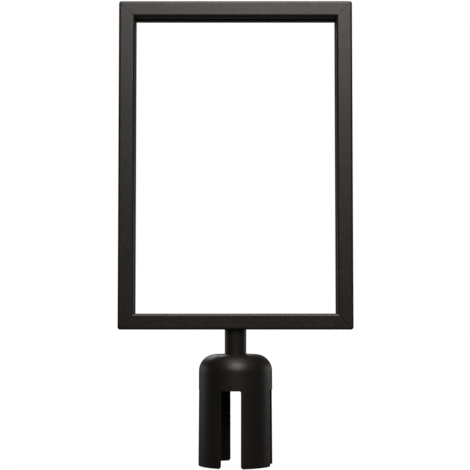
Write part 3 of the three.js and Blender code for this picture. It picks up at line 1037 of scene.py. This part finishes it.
def rest_block(node):
    """A rounded outline across the block, carried along it. The end rows are drawn in
    along a quarter circle, and the top sinks and rises once in each groove pitch."""
    low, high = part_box(node)
    corners = [(low[1], low[2]), (high[1], low[2]), (high[1], high[2]), (low[1], high[2])]
    outline = filleted(corners, [block_edge] * 4, block_edge_steps, block_edge_hold)[0]
    turn = np.linspace(0, math.pi / 2, block_edge_steps + 1)[:-1]
    end = block_edge * (1 - np.cos(turn))
    drawn_end = block_edge * (1 - np.sin(turn))
    middle = np.linspace(low[0] + block_edge, high[0] - block_edge, block_rows)
    travel = np.concatenate([low[0] + end, middle, high[0] - end[::-1]])
    drawn = np.concatenate([drawn_end, np.zeros(middle.size), drawn_end[::-1]])
    centre = outline.mean(axis=0)
    reach = np.abs(outline - centre).max(axis=0)
    section = centre + (outline - centre)[:, None, :] * (1 - drawn[None, :, None] / reach)
    lift = np.clip((section[..., 1] - high[2] + 2 * block_edge) / (2 * block_edge), 0, 1)
    groove = 0.5 - 0.5 * np.cos(2 * math.pi * (travel - low[0]) / block_groove_pitch)
    section[..., 1] -= block_groove * groove[None, :] * lift
    along = np.broadcast_to(travel[None, :], section.shape[:2])
    points = np.stack([along, section[..., 0], section[..., 1]], axis=-1)
    faces = list(tube_faces(len(outline), travel.size, 0))
    first = np.arange(len(outline)) * travel.size
    return points, faces + [first, first + travel.size - 1]


rubber = black_rubber()
for side in ("left", "right"):
    node = "rest_block_" + side
    add_piece(side + "_rubber_rest_block", *rest_block(node), "sign_frame", [node], "black_rubber", rubber)


# ---- Floor, light and camera -----------------------------------------------------
# A plain floor that looks clean white and returns little light to the object, under five
# softboxes: a large one high in front, one overhead, one behind and two low at the sides.
# The room is dim, and a little lighter on the far side.

scene = bpy.context.scene
scene.view_settings.view_transform = "Standard"
scene.view_settings.look = "None"

floor_reach = 4.0
floor_white = 1.05
floor_grey = 0.1
floor_corners = [
    (-floor_reach, -floor_reach, 0),
    (floor_reach, -floor_reach, 0),
    (floor_reach, floor_reach, 0),
    (-floor_reach, floor_reach, 0),
]
floor_mesh = bpy.data.meshes.new("floor")
floor_mesh.from_pydata(floor_corners, [], [(0, 1, 2, 3)])
floor = bpy.data.objects.new("floor", floor_mesh)
scene.collection.objects.link(floor)
floor_paint = bpy.data.materials.new("white sweep")
floor_paint.use_nodes = True
tree = floor_paint.node_tree
tree.nodes.clear()
out = tree.nodes.new("ShaderNodeOutputMaterial")
ray = tree.nodes.new("ShaderNodeLightPath")
seen = tree.nodes.new("ShaderNodeEmission")
seen.inputs["Color"].default_value = (1, 1, 1, 1)
seen.inputs["Strength"].default_value = floor_white
matt = tree.nodes.new("ShaderNodeBsdfDiffuse")
matt.inputs["Color"].default_value = (floor_grey, floor_grey, floor_grey, 1)
choose = tree.nodes.new("ShaderNodeMixShader")
link_nodes(
    tree,
    (ray.outputs["Is Camera Ray"], choose.inputs["Fac"]),
    (matt.outputs["BSDF"], choose.inputs[1]),
    (seen.outputs["Emission"], choose.inputs[2]),
    (choose.outputs["Shader"], out.inputs["Surface"]),
)
floor_mesh.materials.append(floor_paint)

world = bpy.data.worlds.new("studio")
scene.world = world
world.use_nodes = True
tree = world.node_tree
sky = tree.nodes["Background"]
look = tree.nodes.new("ShaderNodeTexCoord")
split = tree.nodes.new("ShaderNodeSeparateXYZ")
tree.links.new(look.outputs["Generated"], split.inputs["Vector"])
backdrop = add_range(tree, split.outputs["Y"], 0.05, 0.3, 0.008, 0.11)
ray = tree.nodes.new("ShaderNodeLightPath")
strength = tree.nodes.new("ShaderNodeMath")
strength.operation = "MAXIMUM"
link_nodes(
    tree,
    (ray.outputs["Is Camera Ray"], strength.inputs[0]),
    (backdrop, strength.inputs[1]),
    (strength.outputs["Value"], sky.inputs["Strength"]),
)
sky.inputs["Color"].default_value = (1, 1, 1, 1)


def add_softbox(name, place, target, width, height, power, colour=(1, 1, 1)):
    """A rectangular light that faces target. Its local Z points away from it."""
    lamp = bpy.data.lights.new(name, "AREA")
    lamp.shape = "RECTANGLE"
    lamp.size = width
    lamp.size_y = height
    lamp.energy = power
    lamp.color = colour
    holder = bpy.data.objects.new(name, lamp)
    scene.collection.objects.link(holder)
    holder.location = place
    away = np.array(place) - np.array(target)
    flat = math.hypot(away[0], away[1])
    round_z = math.atan2(away[1], away[0]) + math.pi / 2
    holder.rotation_euler = (math.atan2(flat, away[2]), 0, round_z)


object_middle = (0, 0, cad_box[1][2] / 2)
cup_middle = (0, 0, 0.1)
add_softbox("front_top_softbox", (0.13, -1.5, 1.45), object_middle, 0.95, 1.5, 31, (1.0, 0.94, 0.9))
add_softbox("overhead_softbox", (0, -0.2, 1.9), object_middle, 1.0, 1.0, 5)
add_softbox("rear_top_softbox", (-0.5, 1.9, 1.5), object_middle, 1.2, 0.9, 11)
add_softbox("left_low_strip", (-1.1, 0.7, 0.2), cup_middle, 0.9, 0.4, 0.85)
add_softbox("right_low_strip", (1.1, 0.7, 0.2), cup_middle, 0.9, 0.4, 1.1)

camera_data = bpy.data.cameras.new("camera")
camera_data.lens = 97.5
camera_data.sensor_width = 36.0
camera = bpy.data.objects.new("camera", camera_data)
scene.collection.objects.link(camera)
camera.location = (-0.0005, -1.182, 0.1467)
camera.rotation_euler = (math.radians(93.16), 0, 0)
scene.camera = camera
